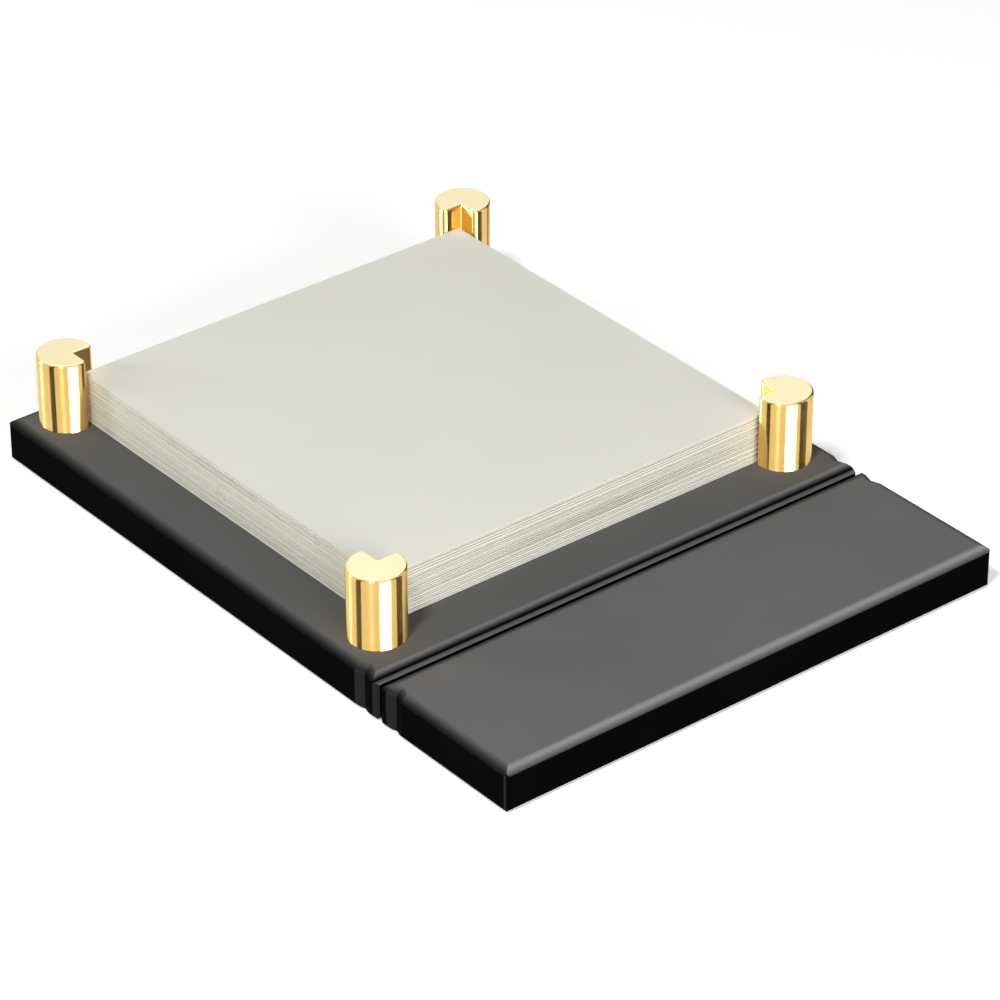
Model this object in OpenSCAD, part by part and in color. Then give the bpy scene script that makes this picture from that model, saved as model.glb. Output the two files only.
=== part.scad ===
// Memo pad holder with a drawer. A flat moulded base carries four notched posts that hold a
// stack of loose sheets by its corners. The near end of the base is the front of a shallow
// drawer, which slides out along -Y. The origin is on the desk under the middle of the base,
// +X is to the right, +Y to the rear and +Z up. All sizes are in millimetres.

/* [Base] */
// Width of the base
base_w = 124; // [123:0.5:140]
// Length of the base, drawer front included
base_l = 164; // [162:0.5:180]
// Height of the base from its lower edge to the deck
base_h = 9.3; // [9.1:0.1:14]
// Height that the feet lift the base off the desk
foot_lift = 0.3; // [0.2:0.1:1]
// Thickness of the deck and of the drawer front's roof
deck_t = 2.2; // [2.1:0.05:2.4]
// Thickness of the side, rear and front walls
wall_t = 2; // [1.5:0.1:2.3]
// Radius of the upright corners
corner_r = 1; // [0.5:0.1:1.8]
// Bevel of the lower edge
toe_r = 0.4; // [0.2:0.05:0.8]

/* [Soft edges] */
// Width of the softened upper edge, seen from above
edge_w = 2.1; // [1.6:0.1:2.5]
// Drop of the softened upper edge, from the deck to its crease
edge_drop = 1.35; // [1:0.05:1.5]
// Width of the softened edge at the rear of the drawer front
back_edge_w = 3.3; // [2.7:0.1:3.8]
// Drop of the softened edge at the rear of the drawer front
back_edge_drop = 2.6; // [1.6:0.1:2.6]
// Radius of the round along the front of the deck
lip_r = 1.3; // [1:0.1:1.4]
// Width of the bead along the front of the deck
bead_w = 1.5; // [0.8:0.1:1.6]
// Height of the bead's crest above the foot of the round
bead_rise = 0.05; // [0:0.05:0.3]
// Height of the bead's round crown
bead_crown = 0.2; // [0.15:0.05:0.5]

/* [Side grooves] */
// Distance from one grip groove to the next
groove_pitch = 4.9; // [4.4:0.1:5.6]
// Width of the grip grooves beside the parting line
groove_w = 4.6; // [3.6:0.1:4.8]
// Width of the groove that the parting line runs in
parting_groove_w = 3.3; // [2.6:0.1:3.8]
// Depth of the grip grooves
groove_d = 0.8; // [0.4:0.05:1]

/* [Posts] */
// Diameter of a post
post_d = 12; // [11:0.5:14]
// Height of a post above the deck
post_h = 16; // [12:0.5:30]
// Distance from the base's rear edge to the middle of the rear posts
post_inset = 8; // [7.5:0.1:12]
// Distance from a post's middle to the corner of its notch, along X and along Y
notch_in = 1.3; // [0.8:0.1:2]
// Radius of the rounded upright edges of the notch
notch_edge_r = 0.9; // [0.4:0.1:1.2]
// Radius of the rim round a post's top
post_rim_r = 0.45; // [0.2:0.05:0.6]
// Width of the square spigot that keeps a post from turning
spigot_w = 5; // [4.4:0.1:6]
// Height of the spigot
spigot_h = 0.6; // [0.4:0.05:0.7]

/* [Memo sheets] */
// Width of a sheet
sheet_w = 99.5; // [90:0.5:100]
// Length of a sheet
sheet_l = 101; // [90:0.5:102]
// Thickness of the stack
stack_h = 10.9; // [5:0.1:15]
// Number of steps that the uneven edge of the stack shows
stack_steps = 20; // [6:1:24]
// How far a step stands in from the others
stack_scatter = 0.35; // [0.1:0.05:0.4]
// Room between the sheets and a notch, along X
sheet_gap_x = 1.2; // [0.5:0.1:1.6]
// Room between the sheets and a notch, along Y
sheet_gap_y = 0.45; // [0.45:0.05:1.6]

/* [Drawer] */
// Length of the drawer front, from its face to the parting line
front_l = 38.9; // [34:0.1:46]
// Width of the parting gap
parting_gap = 0.4; // [0.3:0.05:0.6]
// Travel of the drawer
travel = 80; // [40:1:90]
// Room for a sheet at each side of the tray
tray_room = 1.25; // [0.8:0.05:1.5]
// Thickness of the tray's walls
tray_wall_t = 1.5; // [1.1:0.1:1.6]
// Thickness of the tray's floor
tray_floor_t = 1; // [0.8:0.1:1.2]
// Radius of the tray's inner corners
tray_corner_r = 3; // [1:0.5:6]
// Thickness of the liner in the tray
liner_t = 0.4; // [0.3:0.05:0.5]
// Width of the runner along each side of the tray
runner_w = 1.5; // [1:0.1:1.6]
// Thickness of the runner
runner_t = 1.2; // [0.8:0.1:1.5]
// Clearance round the sliding drawer
slide_gap = 0.3; // [0.2:0.05:0.35]

/* [Housing] */
// Thickness of the plates that close the base and the drawer front
plate_t = 1.1; // [0.9:0.05:1.2]
// Thickness of the guide ribs beside the tray
rib_t = 1.3; // [0.9:0.1:1.4]
// Depth of the beam over the drawer's mouth, below the deck
lintel_drop = 0.4; // [0.2:0.05:0.4]
// Radius of the screw bosses
boss_r = 2.4; // [2:0.1:2.5]
// Diameter of a foot
foot_d = 10; // [7:0.5:12]
// Thickness of a foot
foot_t = 0.8; // [0.6:0.05:1.1]
// Length of the rubber stops behind the tray
bumper_t = 2.7; // [1.5:0.1:4]
// Diameter of the rubber stops
bumper_d = 4.4; // [3:0.1:4.8]

/* [Fasteners] */
// Shank diameter of the small screws
screw_d = 2; // [1.8:0.1:2.2]
// Head diameter of the small screws
screw_head_d = 3.5; // [3.2:0.1:3.6]
// Length of the small screws below the plate
screw_l = 4.5; // [3:0.1:5]
// Shank diameter of the post screws
post_screw_d = 2.5; // [2.2:0.1:3]
// Head diameter of the post screws
post_screw_head_d = 5.5; // [5:0.1:6]
// Length of the post screws inside the post
post_screw_l = 6.5; // [4:0.5:9]
// Clearance of parts that are fitted into one another
fit_gap = 0.1; // [0.05:0.01:0.15]

/* [Hidden] */
$fn = 96;

// Levels above the desk
base_z = foot_lift;
deck_z = base_z + base_h;
roof_z = deck_z - deck_t;
crease_z = deck_z - edge_drop;
lip_z = deck_z - lip_r;
plate_z = base_z + plate_t;
mouth_z = roof_z - lintel_drop;
tray_z = plate_z + slide_gap;
floor_z = tray_z + tray_floor_t;
liner_z = floor_z + liner_t;
rim_z = mouth_z - slide_gap;
runner_z = tray_z + runner_t;
rib_z = runner_z + slide_gap;

// Places along the length
front_y = -base_l / 2;
rear_y = base_l / 2;
parting_y = front_y + front_l;
front_back_y = parting_y - parting_gap / 2;
housing_front_y = parting_y + parting_gap / 2;
bead_back_y = housing_front_y + bead_w;
mouth_back_y = housing_front_y + wall_t;
tray_back_y = rear_y - wall_t - bumper_t - slide_gap;
runner_front_y = mouth_back_y + travel + slide_gap;
post_rear_y = rear_y - post_inset;
stack_y = post_rear_y - notch_in - sheet_gap_y - sheet_l / 2;
post_front_y = stack_y - sheet_l / 2 - sheet_gap_y - notch_in;

// Half widths
inner_x = base_w / 2 - wall_t;
post_x = sheet_w / 2 + sheet_gap_x + notch_in;
tray_x = sheet_w / 2 + tray_room + tray_wall_t;
mouth_x = tray_x + slide_gap;
boss_wall_gap = 0.2;
boss_x = inner_x - boss_wall_gap - boss_r;

// Screws, bosses and feet
thread_gap = 0.05;
screw_hole_r = screw_d / 2 + thread_gap;
screw_tip_room = 0.5;
pan_head_h = 1.4;
pan_head_r = 1.7;
recess_l = 1.9;
recess_w = 0.35;
recess_deep = 0.6;
over = 1;
spread = 0.12;
lap = 0.03;
sink = 0.3;
groove_edge_lift = 0.04;
web_t = 1.2;
foot_side_inset = 12;
foot_end_inset = 14;
bumper_x = 30;
tray_screw_x = 35;
tray_screw_grip = 9;
front_boss_inset = 3.5;
tray_boss_r = 2.2;
tray_screw_z = (liner_z + rim_z) / 2;
scatter_seed = 7;
base_boss_front_inset = 4.5;
base_boss_rear_inset = 18;
post_head_h = deck_t - spigot_h - fit_gap;
base_boss_y = [mouth_back_y + base_boss_front_inset, (mouth_back_y + rear_y) / 2, rear_y - base_boss_rear_inset];
front_boss_y = [front_y + wall_t + front_boss_inset, front_back_y - wall_t - front_boss_inset];

// A softened edge is an arc that leaves the deck level and ends at the crease.
function arc_turn(w, drop) = 2 * atan(drop / w);
function arc_r(w, drop) = w / sin(arc_turn(w, drop));

// Rectangle with round corners, centred
module round_rect(w, l, r) {
  square([w - 2 * r, l], center = true);
  square([w, l - 2 * r], center = true);
  for (x = [-1, 1], y = [-1, 1])
    translate([x * (w / 2 - r), y * (l / 2 - r)]) circle(r);
}

// Section of the base between two upright faces, each of which may spread past its place so
// that the outline trims it
module bar_section(low, high, low_spread, high_spread) {
  polygon([
    [low + toe_r, base_z],
    [high - toe_r, base_z],
    [high + high_spread, base_z + toe_r + high_spread],
    [high + high_spread, deck_z],
    [low - low_spread, deck_z],
    [low - low_spread, base_z + toe_r + low_spread]
  ]);
}

// What softening takes off an upper edge whose upright face is at 0
module soft_cut(w, drop, reach) {
  r = arc_r(w, drop);
  difference() {
    translate([-reach, deck_z - r]) square([w + reach, r + over]);
    translate([w, deck_z - r]) circle(r);
  }
}

// Grip groove in the left wall, with its middle at 0: two upright faces that meet in a valley,
// and the softening of their upper edges. It stays clear of the deck's level, to cross it cleanly.
module grip_groove(w) {
  turn = atan(2 * groove_d / w);
  translate([-base_w / 2, 0, base_z - over])
    linear_extrude(base_h + 2 * over) polygon([[groove_d, 0], [-groove_d, w], [-groove_d, -w]]);
  translate([groove_d - base_w / 2, 0, groove_edge_lift])
    intersection() {
      rotate([90, 0, turn]) linear_extrude(w + 2 * edge_w, center = true) soft_cut(edge_w, edge_drop, w);
      rotate([90, 0, -turn]) linear_extrude(w + 2 * edge_w, center = true) soft_cut(edge_w, edge_drop, w);
    }
}

// The three grip grooves at each side
module grip_grooves() {
  for (side = [0, 1])
    mirror([side, 0]) translate([0, parting_y, 0]) {
      grip_groove(parting_groove_w);
      for (step = [-1, 1]) translate([0, step * groove_pitch, 0]) grip_groove(groove_w);
    }
}

// Lengthways section of the housing: the deck, its soft edges, and the bead before it
module housing_section() {
  bead_r = (bead_w * bead_w / 4 + bead_crown * bead_crown) / (2 * bead_crown);
  difference() {
    bar_section(housing_front_y, rear_y, 0, spread);
    translate([rear_y, 0]) mirror([1, 0]) soft_cut(edge_w, edge_drop, over);
    translate([bead_back_y, 0]) soft_cut(lip_r, lip_r, lap);
    difference() {
      translate([housing_front_y - over, lip_z + bead_rise - bead_r]) square([bead_w + over, base_h]);
      translate([housing_front_y + bead_w / 2, lip_z + bead_rise - bead_r]) circle(bead_r);
    }
  }
}

// Lengthways section of the drawer front
module drawer_front_section() {
  difference() {
    bar_section(front_y, front_back_y, spread, 0);
    translate([front_y, 0]) soft_cut(edge_w, edge_drop, over);
    translate([front_back_y, 0]) mirror([1, 0]) soft_cut(back_edge_w, back_edge_drop, over);
  }
}

// Cross section that both share
module cross_section() {
  difference() {
    bar_section(-base_w / 2, base_w / 2, spread, spread);
    for (side = [0, 1])
      mirror([side, 0]) translate([-base_w / 2, 0]) soft_cut(edge_w, edge_drop, over);
  }
}

// The moulded form: the outline, the cross section and a lengthways section meet in it, and
// the grip grooves are cut from its sides
module moulded() {
  difference() {
    intersection() {
      translate([0, 0, base_z - over])
        linear_extrude(base_h + 2 * over) round_rect(base_w, base_l, corner_r);
      rotate([90, 0, 0]) linear_extrude(base_l + 2 * over, center = true) cross_section();
      rotate([90, 0, 90]) linear_extrude(base_w + 2 * over, center = true) children();
    }
    grip_grooves();
  }
}

// Block between two corners
module block(low, high) {
  translate(low) cube(high - low);
}

// Boss that hangs from the roof beside a wall, with its web
module side_boss(side, y) {
  translate([side * boss_x, y, plate_z]) cylinder(h = roof_z - plate_z + sink, r = boss_r);
  translate([side > 0 ? boss_x : -inner_x - sink, y - web_t / 2, plate_z])
    cube([inner_x - boss_x + sink, web_t, roof_z - plate_z + sink]);
}

// Pilot hole of a side boss
module pilot(side, y) {
  translate([side * boss_x, y, plate_z - over])
    cylinder(h = over + screw_l + screw_tip_room - plate_t, r = screw_hole_r);
}

// Seat of a post: a square pocket, a clearance hole and a countersink from below
module post_seat() {
  pocket_w = spigot_w + 2 * fit_gap;
  translate([-pocket_w / 2, -pocket_w / 2, deck_z - spigot_h - fit_gap])
    cube([pocket_w, pocket_w, spigot_h + fit_gap + over]);
  translate([0, 0, roof_z - over]) cylinder(h = base_h, r = post_screw_d / 2 + fit_gap);
  translate([0, 0, roof_z])
    cylinder(h = post_head_h, r1 = post_screw_head_d / 2 + fit_gap, r2 = post_screw_d / 2 + fit_gap);
  translate([0, 0, base_z - over])
    cylinder(h = roof_z - base_z + over, r = post_screw_head_d / 2 + fit_gap);
}

// The four places of the posts, with the turn that points a notch at the sheets
module at_post(side, end) {
  turn = side > 0 ? (end > 0 ? 0 : 270) : (end > 0 ? 90 : 180);
  translate([side * post_x, end > 0 ? post_rear_y : post_front_y, 0]) rotate(turn) children();
}

module housing() color([0.09, 0.09, 0.09]) {
  difference() {
    union() {
      difference() {
        moulded() housing_section();
        block([-inner_x, mouth_back_y, -over], [inner_x, rear_y - wall_t, roof_z]);
        block([-mouth_x, housing_front_y - over, -over], [mouth_x, mouth_back_y + over, mouth_z]);
      }
      for (side = [-1, 1]) {
        translate([side > 0 ? mouth_x : -mouth_x - rib_t, mouth_back_y - sink, rib_z])
          cube([rib_t, rear_y - wall_t - mouth_back_y + 2 * sink, roof_z - rib_z + sink]);
        for (y = base_boss_y) side_boss(side, y);
      }
    }
    for (side = [-1, 1], y = base_boss_y) pilot(side, y);
    for (side = [-1, 1], end = [-1, 1]) at_post(side, end) post_seat();
  }
}

// Countersunk hole through a plate
module plate_hole(side, y) {
  translate([side * boss_x, y, base_z - over]) cylinder(h = plate_t + 2 * over, r = screw_d / 2 + fit_gap);
  translate([side * boss_x, y, base_z])
    cylinder(h = plate_t, r1 = screw_head_d / 2 + fit_gap, r2 = screw_d / 2 + fit_gap);
}

// The middle of a foot
function foot_at(side, end) = [
  side * (base_w / 2 - foot_side_inset),
  end > 0 ? rear_y - foot_end_inset : housing_front_y + foot_end_inset
];

module base_plate() color([0.14, 0.14, 0.15]) {
  difference() {
    union() {
      block([fit_gap - inner_x, mouth_back_y + fit_gap, base_z],
            [inner_x - fit_gap, rear_y - wall_t - fit_gap, plate_z]);
      block([fit_gap - mouth_x, housing_front_y, base_z], [mouth_x - fit_gap, mouth_back_y + over, plate_z]);
    }
    for (side = [-1, 1], y = base_boss_y) plate_hole(side, y);
    for (side = [-1, 1], end = [-1, 1])
      translate(concat(foot_at(side, end), [-over])) cylinder(h = foot_t + over, r = foot_d / 2 + fit_gap);
  }
}

// Soft round foot in its recess
module foot(side, end) color([0.2, 0.2, 0.2]) {
  translate(foot_at(side, end)) cylinder(h = foot_t, r = foot_d / 2);
}

module foot_rear_left() foot(-1, 1);
module foot_rear_right() foot(1, 1);
module foot_front_left() foot(-1, -1);
module foot_front_right() foot(1, -1);

// Cross recess in a screw head, cut upwards from the face at 0
module cross_recess() {
  for (turn = [0, 90])
    rotate(turn) translate([-recess_l / 2, -recess_w / 2, -over]) cube([recess_l, recess_w, over + recess_deep]);
}

// Countersunk screw that points up, with its face at 0
module flat_screw(head_d, head_h, shank_d, length) {
  difference() {
    union() {
      cylinder(h = head_h, r1 = head_d / 2, r2 = shank_d / 2);
      cylinder(h = head_h + length, r = shank_d / 2);
    }
    cross_recess();
  }
}

module base_screws() color([0.72, 0.72, 0.74]) {
  for (side = [-1, 1], y = base_boss_y)
    translate([side * boss_x, y, base_z]) flat_screw(screw_head_d, plate_t, screw_d, screw_l - plate_t);
}

// What rounding takes off an upright edge of the notch, seen from above: the wedge between
// the notch's face and the bar's, outside the circle that touches both
module notch_edge_cut() {
  inset = notch_edge_r - notch_in;
  middle = [inset, -sqrt(pow(post_d / 2 - notch_edge_r, 2) - inset * inset)];
  reach = 2 * notch_edge_r;
  difference() {
    polygon([
      middle,
      middle + [-reach, 0],
      middle + [-reach, -reach],
      middle * (1 + reach / norm(middle))
    ]);
    translate(middle) circle(notch_edge_r);
  }
}

// Notched post: a round bar with a fine rim, a notch for the corner of the sheets,
// a square spigot below and a tapped hole
module post() {
  difference() {
    union() {
      rotate_extrude() {
        square([post_d / 2 - post_rim_r, post_h]);
        square([post_d / 2, post_h - post_rim_r]);
        intersection() {
          translate([post_d / 2 - post_rim_r, post_h - post_rim_r]) circle(post_rim_r);
          square([post_d / 2, post_h]);
        }
      }
      translate([-spigot_w / 2, -spigot_w / 2, -spigot_h]) cube([spigot_w, spigot_w, spigot_h + sink]);
    }
    translate([-post_d - notch_in, -post_d - notch_in, 0]) cube([post_d, post_d, post_h + over]);
    for (flip = [0, 1])
      linear_extrude(post_h + over) mirror([flip, -flip]) notch_edge_cut();
    translate([0, 0, -spigot_h - over])
      cylinder(h = spigot_h + over + post_screw_l + screw_tip_room, r = post_screw_d / 2 + thread_gap);
  }
}

module post_at(side, end) color([0.85, 0.65, 0.25]) {
  translate([0, 0, deck_z]) at_post(side, end) post();
}

module post_rear_left() post_at(-1, 1);
module post_rear_right() post_at(1, 1);
module post_front_left() post_at(-1, -1);
module post_front_right() post_at(1, -1);

module post_screws() color([0.72, 0.72, 0.74]) {
  for (side = [-1, 1], end = [-1, 1])
    translate([0, 0, roof_z]) at_post(side, end)
      flat_screw(post_screw_head_d, post_head_h, post_screw_d, spigot_h + fit_gap + post_screw_l);
}

// Rubber stop on the rear wall, for the back of the tray
module bumper(side) color([0.25, 0.25, 0.25]) {
  translate([side * bumper_x, rear_y - wall_t, (tray_z + rim_z) / 2])
    rotate([90, 0, 0]) cylinder(h = bumper_t, r = bumper_d / 2);
}

module bumper_left() bumper(-1);
module bumper_right() bumper(1);

module drawer_front() color([0.09, 0.09, 0.09]) {
  difference() {
    union() {
      difference() {
        moulded() drawer_front_section();
        block([-inner_x, front_y + wall_t, -over], [inner_x, front_back_y - wall_t, roof_z]);
      }
      for (side = [-1, 1], y = front_boss_y) side_boss(side, y);
      for (i = [-1, 0, 1])
        translate([i * tray_screw_x, front_back_y - wall_t + sink, tray_screw_z])
          rotate([90, 0, 0]) cylinder(h = tray_screw_grip - wall_t + sink, r = tray_boss_r);
    }
    for (side = [-1, 1], y = front_boss_y) pilot(side, y);
    for (i = [-1, 0, 1])
      translate([i * tray_screw_x, front_back_y + over, tray_screw_z])
        rotate([90, 0, 0]) cylinder(h = tray_screw_grip - screw_tip_room + over, r = screw_hole_r);
  }
}

module drawer_front_cover() color([0.14, 0.14, 0.15]) {
  difference() {
    block([fit_gap - inner_x, front_y + wall_t + fit_gap, base_z],
          [inner_x - fit_gap, front_back_y - wall_t - fit_gap, plate_z]);
    for (side = [-1, 1], y = front_boss_y) plate_hole(side, y);
  }
}

module drawer_front_cover_screws() color([0.72, 0.72, 0.74]) {
  for (side = [-1, 1], y = front_boss_y)
    translate([side * boss_x, y, base_z]) flat_screw(screw_head_d, plate_t, screw_d, screw_l - plate_t);
}

// Inside of the tray from above, kept clear of its walls by a margin
module tray_inside(margin) {
  low = front_back_y + tray_wall_t;
  high = tray_back_y - tray_wall_t;
  translate([0, (low + high) / 2])
    round_rect(2 * (tray_x - tray_wall_t - margin), high - low - 2 * margin, tray_corner_r - margin);
}

module drawer_tray() color([0.16, 0.16, 0.17]) {
  difference() {
    union() {
      block([-tray_x, front_back_y, tray_z], [tray_x, tray_back_y, rim_z]);
      block([-tray_x - runner_w, runner_front_y, tray_z], [tray_x + runner_w, tray_back_y, runner_z]);
    }
    translate([0, 0, floor_z]) linear_extrude(base_h) tray_inside(0);
    for (i = [-1, 0, 1])
      translate([i * tray_screw_x, front_back_y + tray_wall_t + over, tray_screw_z])
        rotate([90, 0, 0]) cylinder(h = tray_wall_t + 2 * over, r = screw_d / 2 + fit_gap);
  }
}

module tray_liner() color([0.1, 0.22, 0.16]) {
  translate([0, 0, floor_z]) linear_extrude(liner_t) tray_inside(fit_gap);
}

// Pan-head screws from inside the tray into the drawer front
module tray_screws() color([0.72, 0.72, 0.74]) {
  for (i = [-1, 0, 1])
    translate([i * tray_screw_x, front_back_y + tray_wall_t, tray_screw_z]) rotate([90, 0, 0])
      difference() {
        union() {
          cylinder(h = tray_wall_t + tray_screw_grip - 2 * screw_tip_room, r = screw_d / 2);
          translate([0, 0, -pan_head_h]) cylinder(h = pan_head_h, r = pan_head_r);
        }
        translate([0, 0, -pan_head_h]) cross_recess();
      }
}

// Loose sheets: a stack of steps, each a little in from the full size and to one side
module memo_sheets() color([0.9, 0.9, 0.85]) {
  step_h = stack_h / stack_steps;
  left = rands(0, stack_scatter, stack_steps, scatter_seed);
  right = rands(0, stack_scatter, stack_steps, scatter_seed + 1);
  near = rands(0, stack_scatter, stack_steps, scatter_seed + 2);
  far = rands(0, stack_scatter, stack_steps, scatter_seed + 3);
  for (i = [0 : stack_steps - 1])
    block([left[i] - sheet_w / 2, stack_y - sheet_l / 2 + near[i], deck_z + i * step_h],
          [sheet_w / 2 - right[i], stack_y + sheet_l / 2 - far[i], deck_z + (i + 1) * step_h]);
}

housing();
base_plate();
foot_rear_left();
foot_rear_right();
foot_front_left();
foot_front_right();
base_screws();
post_rear_left();
post_rear_right();
post_front_left();
post_front_right();
post_screws();
bumper_left();
bumper_right();
drawer_front();
drawer_front_cover();
drawer_front_cover_screws();
drawer_tray();
tray_liner();
tray_screws();
memo_sheets();
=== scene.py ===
"""Looks of a memo pad holder with a drawer.

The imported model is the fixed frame. Its moulded, turned and pressed nodes keep their shapes and
get their finishes here. The corner posts, the loose sheets and the felt in the tray are built as
finer surfaces that stand for their nodes. Lengths are in metres, in the frame of the model:
+X to the right, +Y to the rear, +Z up, the origin on the desk under the middle of the base.
"""

import logging
import math
from collections.abc import Sequence
from dataclasses import dataclass, replace
from enum import Enum

import bpy
import numpy as np
from mathutils import Matrix, Vector

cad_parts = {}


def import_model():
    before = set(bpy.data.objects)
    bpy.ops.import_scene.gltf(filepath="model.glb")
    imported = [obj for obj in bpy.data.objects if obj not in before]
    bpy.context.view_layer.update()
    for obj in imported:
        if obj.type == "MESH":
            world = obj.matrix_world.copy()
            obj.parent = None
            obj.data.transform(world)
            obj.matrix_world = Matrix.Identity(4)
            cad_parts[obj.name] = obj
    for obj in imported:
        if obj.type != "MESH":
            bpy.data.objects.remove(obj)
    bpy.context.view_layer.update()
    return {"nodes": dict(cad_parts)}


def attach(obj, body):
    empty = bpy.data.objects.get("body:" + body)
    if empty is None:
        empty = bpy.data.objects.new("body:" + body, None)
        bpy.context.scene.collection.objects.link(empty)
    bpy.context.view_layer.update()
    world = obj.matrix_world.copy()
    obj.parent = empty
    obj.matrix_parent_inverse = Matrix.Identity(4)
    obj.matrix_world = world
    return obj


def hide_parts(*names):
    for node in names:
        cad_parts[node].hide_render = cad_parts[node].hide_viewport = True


LOG = logging.getLogger("memo_holder")
MM = 0.001

Socket = bpy.types.NodeSocket
Outputs = bpy.types.NodeOutputs
Triple = tuple[float, float, float]

# The mix node's two sockets for colours
MIX_FIRST, MIX_SECOND = 6, 7


class Slot(Enum):
    """The record's material slot names for the built pieces; the script doesn't assign them."""

    GILT = "gilt_brass"
    FELT = "felt"
    PAPER = "paper"


class Body(Enum):
    """The bodies that pieces ride on."""

    BASE = "root"
    DRAWER = "drawer"
    SHEETS = "memo_stack"


class Side(Enum):
    """Left and right, as the sign of X."""

    LEFT = -1
    RIGHT = 1


class End(Enum):
    """Front and rear, as the sign of Y."""

    FRONT = -1
    REAR = 1


class Recipe:
    """A node tree that is written down one node at a time."""

    def __init__(self, tree: bpy.types.NodeTree) -> None:
        """Keeps the tree that the nodes go into."""
        self.tree = tree

    @classmethod
    def fresh(cls, holder: bpy.types.Material | bpy.types.World) -> "Recipe":
        """Empties the node tree of a material or a world, and starts a recipe in it."""
        holder.use_nodes = True
        holder.node_tree.nodes.clear()
        return cls(holder.node_tree)

    def put(self, kind: str, values: dict | None = None, **settings: object) -> bpy.types.Node:
        """Adds one node.

        Args:
            kind: Blender's name of the node type.
            values: what each input gets, by name or number: an output socket is linked,
                and anything else is set as the socket's own value.
            settings: the node's own options.

        Returns:
            The new node.
        """
        node = self.tree.nodes.new(kind)
        for name, value in settings.items():
            setattr(node, name, value)
        for name, value in (values or {}).items():
            if isinstance(value, Socket):
                self.tree.links.new(value, node.inputs[name])
            else:
                node.inputs[name].default_value = value
        return node

    def ramp(self, value: Socket, start: float, stop: float, low: float = 0.0, high: float = 1.0) -> Socket:
        """Goes from low at the start to high at the stop, and stays level beyond them.

        Args:
            value: the socket that is read.
            start: the value where the ramp starts.
            stop: the value where it stops.
            low: the result at the start.
            high: the result at the stop.

        Returns:
            The result's socket.
        """
        values = {"Value": value, "From Min": start, "From Max": stop, "To Min": low, "To Max": high}
        return self.put("ShaderNodeMapRange", values).outputs[0]

    def spread(self, value: Socket, low: float, high: float) -> Socket:
        """Spreads a value of 0 to 1 over low to high, and returns the result's socket."""
        return self.ramp(value, 0.0, 1.0, low, high)

    def work_out(self, operation: str, *terms: Socket | float, **settings: object) -> Socket:
        """Works a number out of one or two others.

        Args:
            operation: Blender's name of the operation.
            terms: the numbers, each a socket or a plain one.
            settings: the node's own options.

        Returns:
            The result's socket.
        """
        return self.put("ShaderNodeMath", dict(enumerate(terms)), operation=operation, **settings).outputs[0]

    def blend(self, mask: Socket, first: Socket | Triple, second: Socket | Triple) -> Socket:
        """Goes from the first colour to the second with the mask.

        Args:
            mask: 0 for the first colour, 1 for the second.
            first: a socket, or a plain colour.
            second: a socket, or a plain colour.

        Returns:
            The colour's socket.
        """
        values = {"Factor": mask}
        for number, end in ((MIX_FIRST, first), (MIX_SECOND, second)):
            values[number] = end if isinstance(end, Socket) else (*end, 1.0)
        return self.put("ShaderNodeMix", values, data_type="RGBA").outputs[2]

    def place(self) -> Socket:
        """The point on the object, in metres."""
        return self.put("ShaderNodeTexCoord").outputs["Object"]

    def normal(self) -> Socket:
        """The object's own normal."""
        return self.put("ShaderNodeTexCoord").outputs["Normal"]


class EffectGroup:
    """A shader effect that several finishes share, built once as a node group."""

    title = "effect"
    inputs: tuple[tuple[str, float], ...] = ()
    outputs: tuple[str, ...] = ()

    def tree(self) -> bpy.types.NodeTree:
        """The group's tree, built at its first use.

        Returns:
            The node group, with a Place input and the inputs and outputs that the class names.
        """
        found = bpy.data.node_groups.get(self.title)
        if found is not None:
            return found
        tree = bpy.data.node_groups.new(self.title, "ShaderNodeTree")
        tree.interface.new_socket("Place", in_out="INPUT", socket_type="NodeSocketVector")
        for name, value in self.inputs:
            socket = tree.interface.new_socket(name, in_out="INPUT", socket_type="NodeSocketFloat")
            socket.default_value = value
        for name in self.outputs:
            tree.interface.new_socket(name, in_out="OUTPUT", socket_type="NodeSocketFloat")
        recipe = Recipe(tree)
        source = recipe.put("NodeGroupInput")
        results = self.fill(recipe, source.outputs)
        recipe.put("NodeGroupOutput", dict(zip(self.outputs, results)))
        return tree

    def fill(self, recipe: Recipe, given: Outputs) -> list[Socket]:
        """Builds the effect's inside and returns one socket for each output."""
        raise NotImplementedError

    def use(self, recipe: Recipe, **values: float) -> Outputs:
        """Places the group in a material.

        Args:
            recipe: the material's tree.
            values: the group's inputs, by name.

        Returns:
            The outputs of the placed group.
        """
        node = recipe.put("ShaderNodeGroup", {}, node_tree=self.tree())
        recipe.tree.links.new(recipe.place(), node.inputs["Place"])
        for name, value in values.items():
            node.inputs[name].default_value = value
        return node.outputs


class FineGrain(EffectGroup):
    """Fine even grain with a slow mottle over it, as on a moulding, rubber or paper."""

    title = "fine_grain"
    inputs = (("Grain", 4000.0), ("Mottle", 60.0))
    outputs = ("Height", "Cloud")
    cloud_band = (0.3, 0.7)

    def fill(self, recipe: Recipe, given: Outputs) -> list[Socket]:
        """Two noises of different scale: the fine one is the height, the slow one the cloud."""
        place = given["Place"]
        fine = {"Vector": place, "Scale": given["Grain"], "Detail": 3.0, "Roughness": 0.55}
        slow = {"Vector": place, "Scale": given["Mottle"], "Detail": 4.0, "Roughness": 0.5}
        height = recipe.put("ShaderNodeTexNoise", fine).outputs[0]
        mottle = recipe.put("ShaderNodeTexNoise", slow).outputs[0]
        return [height, recipe.ramp(mottle, *self.cloud_band)]


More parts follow.
